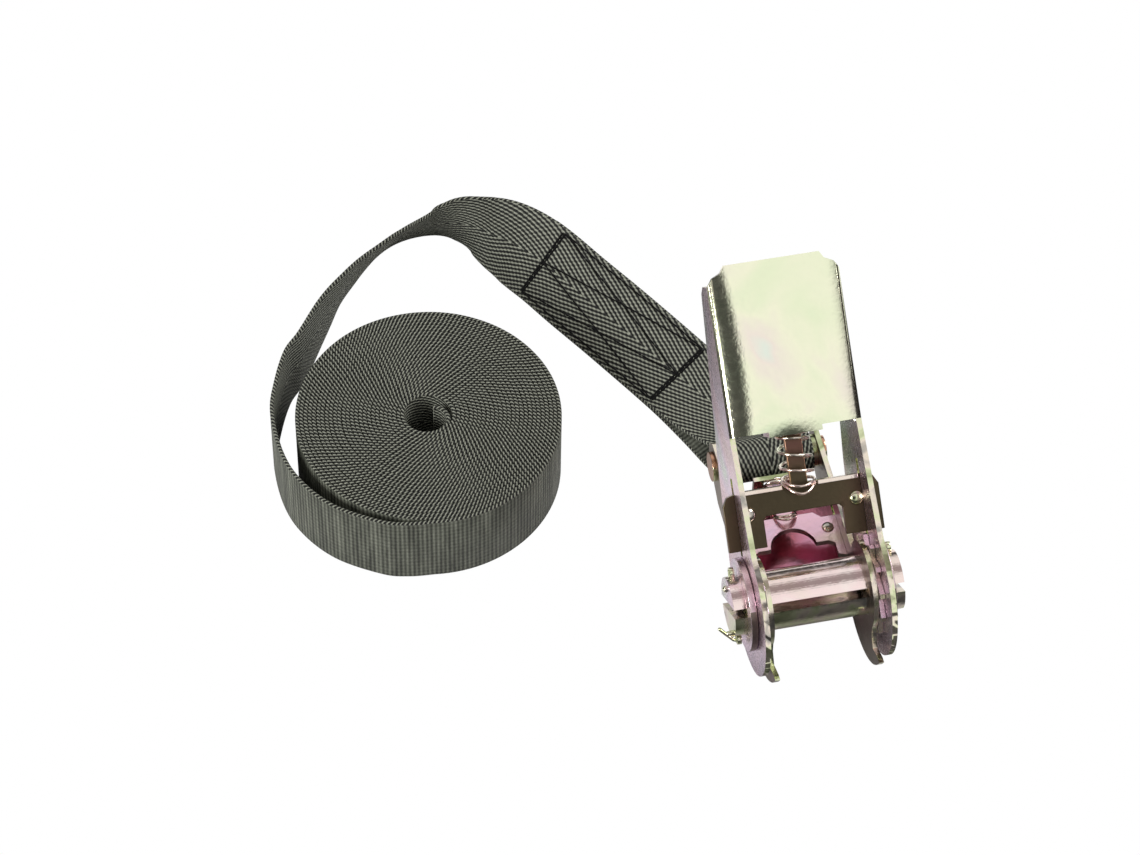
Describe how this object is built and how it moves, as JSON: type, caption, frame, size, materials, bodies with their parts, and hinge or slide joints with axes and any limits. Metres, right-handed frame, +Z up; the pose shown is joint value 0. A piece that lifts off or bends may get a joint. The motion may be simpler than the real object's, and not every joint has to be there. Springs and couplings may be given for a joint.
{
  "type": "ratchet tie down",
  "caption": "Ratchet tie down with a folded steel base and handle, a split mandrel, sprung pawls and woven grey-green webbing sewn to the bolt and rolled up.",
  "frame": {"origin": "on the mandrel axis, midway between the base's side plates", "axes": "+X along the mandrel to the right, +Y from the mandrel to the webbing bolt, +Z up from the floor"},
  "size_m": [0.1606, 0.1898, 0.0912],
  "materials": {
    "zinc_steel": "zinc passivated, iridescent",
    "bolt_steel": "zinc passivated",
    "spring_steel": "zinc passivated",
    "webbing": "woven polyester",
    "thread": "sewing thread"
  },
  "bodies": {
    "base": {"base_frame": "zinc_steel", "webbing_bolt": "bolt_steel", "bolt_spacer": "zinc_steel", "lock_pawl_spring": "spring_steel", "webbing_roll": "webbing", "webbing_run": "webbing", "webbing_loop": "webbing", "stitch_box": "thread"},
    "handle": {"handle_frame": "zinc_steel", "drive_pawl_spring": "spring_steel"},
    "drive_pawl_body": {"drive_pawl": "zinc_steel"},
    "lock_pawl_body": {"lock_pawl": "zinc_steel"},
    "mandrel": {"mandrel_half_upper": "zinc_steel", "mandrel_half_lower": "zinc_steel", "ratchet_wheel_left": "zinc_steel", "ratchet_wheel_right": "zinc_steel", "retaining_washer_left": "zinc_steel", "retaining_washer_right": "zinc_steel", "cotter_pin_left_upper": "spring_steel", "cotter_pin_right_upper": "spring_steel", "cotter_pin_left_lower": "spring_steel", "cotter_pin_right_lower": "spring_steel"}
  },
  "joints": [
    {"name": "handle_hinge", "type": "hinge", "parent": "base", "child": "handle", "pos_m": [0, 0, 0], "axis": [1, 0, 0], "range_deg": [-41, 138]},
    {"name": "drive_pawl_slide", "type": "slide", "parent": "handle", "child": "drive_pawl_body", "axis": [0, 0.7431, 0.6691], "range_m": [0, 0.003], "stiffness_N_per_m": 900, "springref_m": -0.003, "deforming": ["drive_pawl_spring"]},
    {"name": "lock_pawl_slide", "type": "slide", "parent": "base", "child": "lock_pawl_body", "axis": [0, 1, 0], "range_m": [0, 0.002], "stiffness_N_per_m": 900, "springref_m": -0.003, "deforming": ["lock_pawl_spring"]},
    {"name": "mandrel_spin", "type": "hinge", "parent": "base", "child": "mandrel", "pos_m": [0, 0, 0], "axis": [1, 0, 0], "continuous": true}
  ]
}
